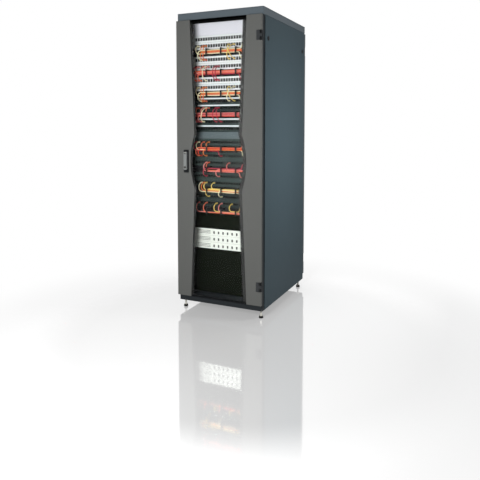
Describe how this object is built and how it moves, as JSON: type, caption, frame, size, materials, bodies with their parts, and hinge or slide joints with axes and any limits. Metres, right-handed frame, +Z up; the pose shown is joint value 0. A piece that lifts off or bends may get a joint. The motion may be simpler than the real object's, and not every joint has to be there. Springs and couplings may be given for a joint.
{
  "type": "network server rack cabinet",
  "caption": "Floor-standing 19-inch network rack cabinet: glass front door with swing handle, steel rear door and sides, patch panels, cable managers, cords and units on rails.",
  "frame": {"origin": "on the floor under the middle of the whole box", "axes": "+Z up, front door towards -Y, door hinges at +X"},
  "size_m": [0.604, 0.8694, 1.921],
  "materials": {
    "frame_paint": "dark grey powder coat",
    "hood_paint": "grey powder coat",
    "door_paint": "grey powder coat, fine texture",
    "side_paint": "grey powder coat, fine texture",
    "rail_zinc": "dark grey coat",
    "window_glass": "clear toughened glass",
    "black_metal": "black coat",
    "zinc_steel": "zinc plated",
    "handle_grey": "grey coat",
    "cylinder_metal": "plain metal",
    "light_panel": "light coat",
    "patch_light": "light face with black jacks",
    "patch_dark": "dark grey-green face with black jacks",
    "grey_panel": "mid grey coat",
    "switch_face": "grey face with black ports",
    "server_white": "off-white coat",
    "black_panel": "black coat",
    "cord_orange": "soft cord jacket",
    "cord_red": "soft cord jacket",
    "cord_pink": "soft cord jacket",
    "cord_yellow": "soft cord jacket"
  },
  "bodies": {
    "cabinet": {"base_frame": "frame_paint", "blank_panel_grey": "grey_panel", "blank_panel_top": "light_panel", "blank_panels_black": "black_panel", "cable_manager_1": "black_metal", "cable_manager_2": "black_metal", "cable_manager_3": "black_metal", "cable_manager_4": "black_metal", "cable_manager_5": "black_metal", "cable_manager_6": "black_metal", "cable_manager_7": "black_metal", "cable_manager_8": "black_metal", "corner_posts_front": "frame_paint", "corner_posts_rear": "frame_paint", "foot_lock_nuts": "zinc_steel", "hinge_brackets": "black_metal", "patch_cords_lower": "cord_yellow", "patch_cords_lower_middle": "cord_pink", "patch_cords_upper": "cord_orange", "patch_cords_upper_middle": "cord_red", "patch_panels_a": "patch_light", "patch_panels_b": "patch_light", "patch_panels_c": "patch_light", "patch_panels_d": "patch_dark", "patch_panels_e": "patch_dark", "port_panels_low": "patch_dark", "rack_rail_front_left": "rail_zinc", "rack_rail_front_right": "rail_zinc", "rack_rail_rear_left": "rail_zinc", "rack_rail_rear_right": "rail_zinc", "rail_depth_bars": "rail_zinc", "roof_cover": "hood_paint", "server_units": "server_white", "switch_lower": "switch_face", "switch_middle": "switch_face", "switch_upper": "switch_face", "top_frame": "hood_paint"},
    "front_door": {"door_stile_left": "door_paint", "door_stile_right": "door_paint", "door_glass": "window_glass", "door_end_channels": "black_metal", "door_hinge_leaves": "black_metal", "handle_base": "black_metal"},
    "handle_spindle_body": {"handle_spindle": "zinc_steel", "latch_cam": "zinc_steel"},
    "handle_lever_body": {"handle_lever": "handle_grey", "handle_lock_cylinder": "cylinder_metal"},
    "rear_door_body": {"rear_door": "door_paint", "rear_hinge_leaves": "black_metal"},
    "rear_lock_body": {"rear_lock": "black_metal"},
    "side_panel_left_body": {"side_panel_left": "side_paint"},
    "side_lock_front_left_body": {"side_lock_front_left": "black_metal"},
    "foot_front_left_body": {"levelling_foot_front_left": "zinc_steel"},
    "side_lock_rear_left_body": {"side_lock_rear_left": "black_metal"},
    "foot_rear_left_body": {"levelling_foot_rear_left": "zinc_steel"},
    "side_panel_right_body": {"side_panel_right": "side_paint"},
    "side_lock_front_right_body": {"side_lock_front_right": "black_metal"},
    "foot_front_right_body": {"levelling_foot_front_right": "zinc_steel"},
    "side_lock_rear_right_body": {"side_lock_rear_right": "black_metal"},
    "foot_rear_right_body": {"levelling_foot_rear_right": "zinc_steel"}
  },
  "joints": [
    {"name": "door_swing", "type": "hinge", "parent": "cabinet", "child": "front_door", "pos_m": [0.291, -0.40225, 0.9], "axis": [0, 0, 1], "range_deg": [0, 130]},
    {"name": "handle_turn", "type": "hinge", "parent": "front_door", "child": "handle_spindle_body", "pos_m": [-0.226, -0.41125, 1.032], "axis": [0, -1, 0], "range_deg": [0, 90]},
    {"name": "handle_lift", "type": "hinge", "parent": "handle_spindle_body", "child": "handle_lever_body", "pos_m": [-0.226, -0.42525, 1.032], "axis": [-1, 0, 0], "range_deg": [0, 35]},
    {"name": "rear_door_swing", "type": "hinge", "parent": "cabinet", "child": "rear_door_body", "pos_m": [0.291, 0.41975, 0.9], "axis": [0, 0, -1], "range_deg": [0, 130]},
    {"name": "rear_lock_turn", "type": "hinge", "parent": "rear_door_body", "child": "rear_lock_body", "pos_m": [-0.268, 0.42875, 0.976], "axis": [0, -1, 0], "range_deg": [0, 90]},
    {"name": "side_panel_left_off", "type": "slide", "parent": "cabinet", "child": "side_panel_left_body", "axis": [-1, 0, 0], "range_m": [0, 0.25]},
    {"name": "side_lock_front_left_turn", "type": "hinge", "parent": "side_panel_left_body", "child": "side_lock_front_left_body", "pos_m": [-0.3, -0.31325, 1.74], "axis": [-1, 0, 0], "range_deg": [0, 90]},
    {"name": "side_lock_rear_left_turn", "type": "hinge", "parent": "side_panel_left_body", "child": "side_lock_rear_left_body", "pos_m": [-0.3, 0.34875, 1.74], "axis": [-1, 0, 0], "range_deg": [0, 90]},
    {"name": "foot_front_left_screw", "type": "slide", "parent": "cabinet", "child": "foot_front_left_body", "axis": [0, 0, -1], "range_m": [0, 0.02]},
    {"name": "foot_rear_left_screw", "type": "slide", "parent": "cabinet", "child": "foot_rear_left_body", "axis": [0, 0, -1], "range_m": [0, 0.02]},
    {"name": "side_panel_right_off", "type": "slide", "parent": "cabinet", "child": "side_panel_right_body", "axis": [1, 0, 0], "range_m": [0, 0.25]},
    {"name": "side_lock_front_right_turn", "type": "hinge", "parent": "side_panel_right_body", "child": "side_lock_front_right_body", "pos_m": [0.3, -0.31325, 1.74], "axis": [1, 0, 0], "range_deg": [0, 90]},
    {"name": "side_lock_rear_right_turn", "type": "hinge", "parent": "side_panel_right_body", "child": "side_lock_rear_right_body", "pos_m": [0.3, 0.34875, 1.74], "axis": [1, 0, 0], "range_deg": [0, 90]},
    {"name": "foot_front_right_screw", "type": "slide", "parent": "cabinet", "child": "foot_front_right_body", "axis": [0, 0, -1], "range_m": [0, 0.02]},
    {"name": "foot_rear_right_screw", "type": "slide", "parent": "cabinet", "child": "foot_rear_right_body", "axis": [0, 0, -1], "range_m": [0, 0.02]}
  ]
}
